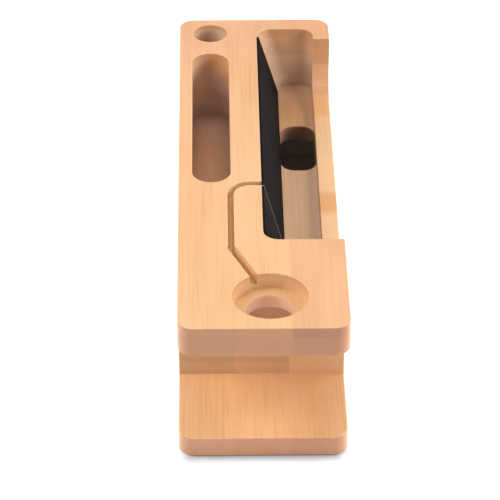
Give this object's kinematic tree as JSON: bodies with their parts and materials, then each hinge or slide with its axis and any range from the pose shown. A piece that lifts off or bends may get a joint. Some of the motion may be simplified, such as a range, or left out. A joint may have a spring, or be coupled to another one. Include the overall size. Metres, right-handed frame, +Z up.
{
  "type": "charging station organizer",
  "caption": "Laminated bamboo desk organizer: a watch-charger seat on an arm over a base board, a leaning lined device slot with a cable hole, a pen slot and a pen hole.",
  "frame": {"origin": "on the table, under the middle of the block's outline", "axes": "+Y along the block from the watch end to the pen end, +X out of the device slot over its low lip, +Z up"},
  "size_m": [0.068, 0.238, 0.064],
  "materials": {
    "bamboo": "sanded, clear satin lacquer",
    "liner": "matt black foam-rubber sheet",
    "rubber_foot": "matt moulded rubber",
    "dowel_wood": "plain beech",
    "screw_steel": "zinc plated"
  },
  "bodies": {
    "root": {"deck_board": "bamboo", "middle_board": "bamboo", "floor_board": "bamboo", "near_riser": "bamboo", "far_riser": "bamboo", "front_rail": "bamboo", "rear_rail": "bamboo", "base_board": "bamboo", "backrest_pad_long": "liner", "backrest_pad_short": "liner", "foot_near_left": "rubber_foot", "foot_near_right": "rubber_foot", "foot_far_left": "rubber_foot", "foot_far_right": "rubber_foot", "alignment_dowels": "dowel_wood", "base_screws": "screw_steel"}
  },
  "joints": []
}
